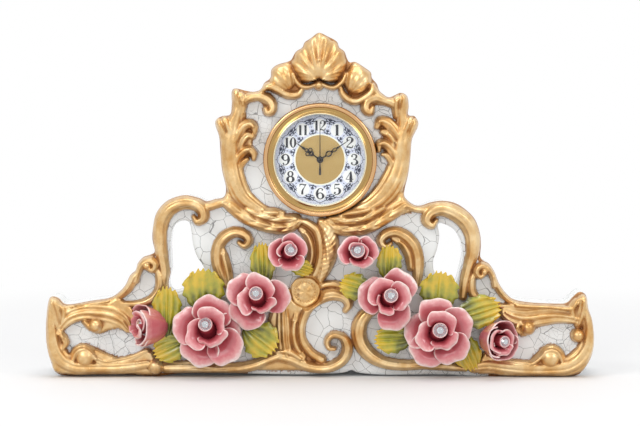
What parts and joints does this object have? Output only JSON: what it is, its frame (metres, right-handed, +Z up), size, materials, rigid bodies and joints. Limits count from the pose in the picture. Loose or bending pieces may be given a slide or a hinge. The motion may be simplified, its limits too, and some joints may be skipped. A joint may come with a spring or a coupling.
{
  "type": "mantel clock",
  "caption": "Baroque ceramic mantel clock with gilt scroll relief, shell crest, ceramic roses and a pull-out quartz clock insert.",
  "frame": {"origin": "centre of the box on the table, under the middle of the clock", "axes": "+X to the right across the clock, -Y out of the dial, +Z up"},
  "size_m": [0.5, 0.1, 0.313],
  "materials": {
    "crackle_glaze": "white crackle glaze with fine grey crazing",
    "gilding": "antique gold glaze with brown wash in the hollows",
    "rose_glaze": "pink glaze, pale at the petal rims",
    "leaf_glaze": "glossy yellow-green glaze",
    "rhinestone": "cut crystal",
    "bezel_brass": "polished and lacquered",
    "lens_glass": "clear flat mineral glass",
    "dial_print": "printed filigree and numerals",
    "dial_gilt": "embossed gilt card",
    "black_plastic": "moulded",
    "band_rubber": "ribbed band",
    "battery_steel": "plain cell",
    "contact_steel": "bare spring steel",
    "hand_black": "satin black"
  },
  "bodies": {
    "case": {"case_body": "crackle_glaze", "shell_crest": "gilding", "crest_gilding_left": "gilding", "crest_gilding_right": "gilding", "arm_gilding_left": "gilding", "arm_gilding_right": "gilding", "base_gilding_left": "gilding", "base_gilding_right": "gilding", "centre_gilding": "gilding", "medallion": "gilding", "rose_large_left": "rose_glaze", "rose_mid_left": "rose_glaze", "rose_top_left": "rose_glaze", "rose_bud_left": "rose_glaze", "rose_large_right": "rose_glaze", "rose_mid_right": "rose_glaze", "rose_top_right": "rose_glaze", "rose_bud_right": "rose_glaze", "rhinestones": "rhinestone", "leaf_a": "leaf_glaze", "leaf_b": "leaf_glaze", "leaf_c": "leaf_glaze", "leaf_d": "leaf_glaze", "leaf_e": "leaf_glaze", "leaf_f": "leaf_glaze", "leaf_g": "leaf_glaze", "leaf_h": "leaf_glaze", "leaf_i": "leaf_glaze", "leaf_j": "leaf_glaze", "leaf_k": "leaf_glaze", "leaf_l": "leaf_glaze"},
    "insert": {"bezel_ring": "bezel_brass", "lens": "lens_glass", "dial_plate": "dial_print", "dial_centre_disc": "dial_gilt", "insert_housing": "black_plastic", "retaining_band": "band_rubber", "movement_case": "black_plastic", "battery": "battery_steel", "battery_contacts": "contact_steel"},
    "hour": {"hour_hand": "hand_black"},
    "minute": {"minute_hand": "hand_black"},
    "second": {"second_hand": "hand_black"},
    "setter": {"setting_knob": "black_plastic"}
  },
  "joints": [
    {"name": "insert_pull", "type": "slide", "parent": "case", "child": "insert", "axis": [0, -1, 0], "range_m": [0, 0.03]},
    {"name": "minute_turn", "type": "hinge", "parent": "insert", "child": "minute", "pos_m": [0, -0.014, 0.198], "axis": [0, 1, 0], "continuous": true},
    {"name": "hour_turn", "type": "hinge", "parent": "insert", "child": "hour", "pos_m": [0, -0.014, 0.198], "axis": [0, 1, 0], "continuous": true},
    {"name": "second_turn", "type": "hinge", "parent": "insert", "child": "second", "pos_m": [0, -0.014, 0.198], "axis": [0, 1, 0], "continuous": true},
    {"name": "setting_knob_turn", "type": "hinge", "parent": "insert", "child": "setter", "pos_m": [0.012, 0.01, 0.206], "axis": [0, 1, 0], "continuous": true}
  ],
  "couplings": [
    {"joint": "hour_turn", "follows": "minute_turn", "ratio": 0.083333},
    {"joint": "setting_knob_turn", "follows": "minute_turn", "ratio": -3}
  ]
}
